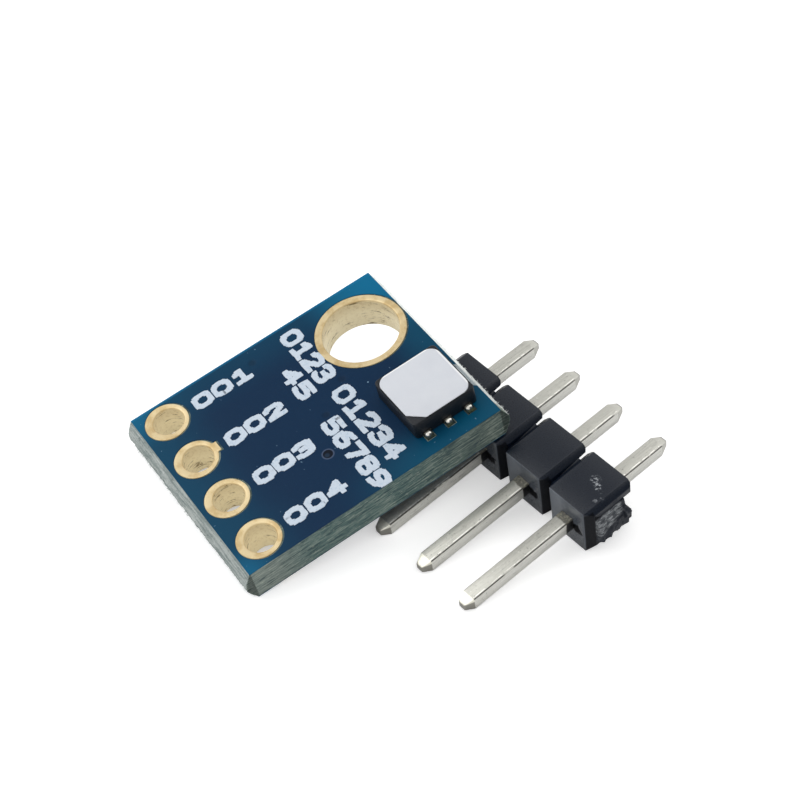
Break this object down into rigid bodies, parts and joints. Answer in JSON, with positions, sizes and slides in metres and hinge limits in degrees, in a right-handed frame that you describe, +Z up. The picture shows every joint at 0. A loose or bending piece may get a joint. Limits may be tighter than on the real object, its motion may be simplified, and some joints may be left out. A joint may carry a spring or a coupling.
{
  "type": "temperature humidity sensor module",
  "caption": "Small breakout board with a humidity and temperature sensor, plated holes and a loose pin header under its raised end.",
  "frame": {"origin": "middle of the board's lower pad-side edge, where it rests on the floor", "axes": "+Z up from the floor, +Y along the floor from the pad edge towards the sensor edge, +X along the resting edge towards the sensor's side of the board"},
  "size_m": [0.0156, 0.0179, 0.0051],
  "materials": {
    "board_core": "matte laminate, glass weave on the cut edges",
    "solder_mask": "dark blue, satin",
    "gold_plating": "pale gold plating",
    "solder": "bright solder",
    "tinned_metal": "dull tin plating",
    "sensor_package": "black moulding",
    "sensor_filter": "white membrane",
    "regulator_package": "black moulding",
    "resistor_ceramic": "dark glaze on ceramic",
    "capacitor_ceramic": "tan ceramic",
    "header_plastic": "black moulding, slightly glossy",
    "pin_metal": "tin-plated brass"
  },
  "bodies": {
    "root": {"substrate": "board_core", "top_solder_mask": "solder_mask", "bottom_solder_mask": "solder_mask", "header_pad_1": "gold_plating", "header_pad_2": "gold_plating", "header_pad_3": "gold_plating", "header_pad_4": "gold_plating", "mounting_ring": "gold_plating", "vias": "gold_plating", "sensor_pads": "gold_plating", "sensor_body": "sensor_package", "sensor_cover": "sensor_filter", "sensor_leads": "tinned_metal", "sensor_solder": "solder", "regulator_body": "regulator_package", "regulator_leads": "tinned_metal", "regulator_solder": "solder", "resistor_1_body": "resistor_ceramic", "resistor_1_ends": "tinned_metal", "resistor_2_body": "resistor_ceramic", "resistor_2_ends": "tinned_metal", "capacitor_1_body": "capacitor_ceramic", "capacitor_1_ends": "tinned_metal", "capacitor_2_body": "capacitor_ceramic", "capacitor_2_ends": "tinned_metal", "chip_solder": "solder", "bottom_pads": "gold_plating", "header_housing": "header_plastic", "header_pin_1": "pin_metal", "header_pin_2": "pin_metal", "header_pin_3": "pin_metal", "header_pin_4": "pin_metal"}
  },
  "joints": []
}
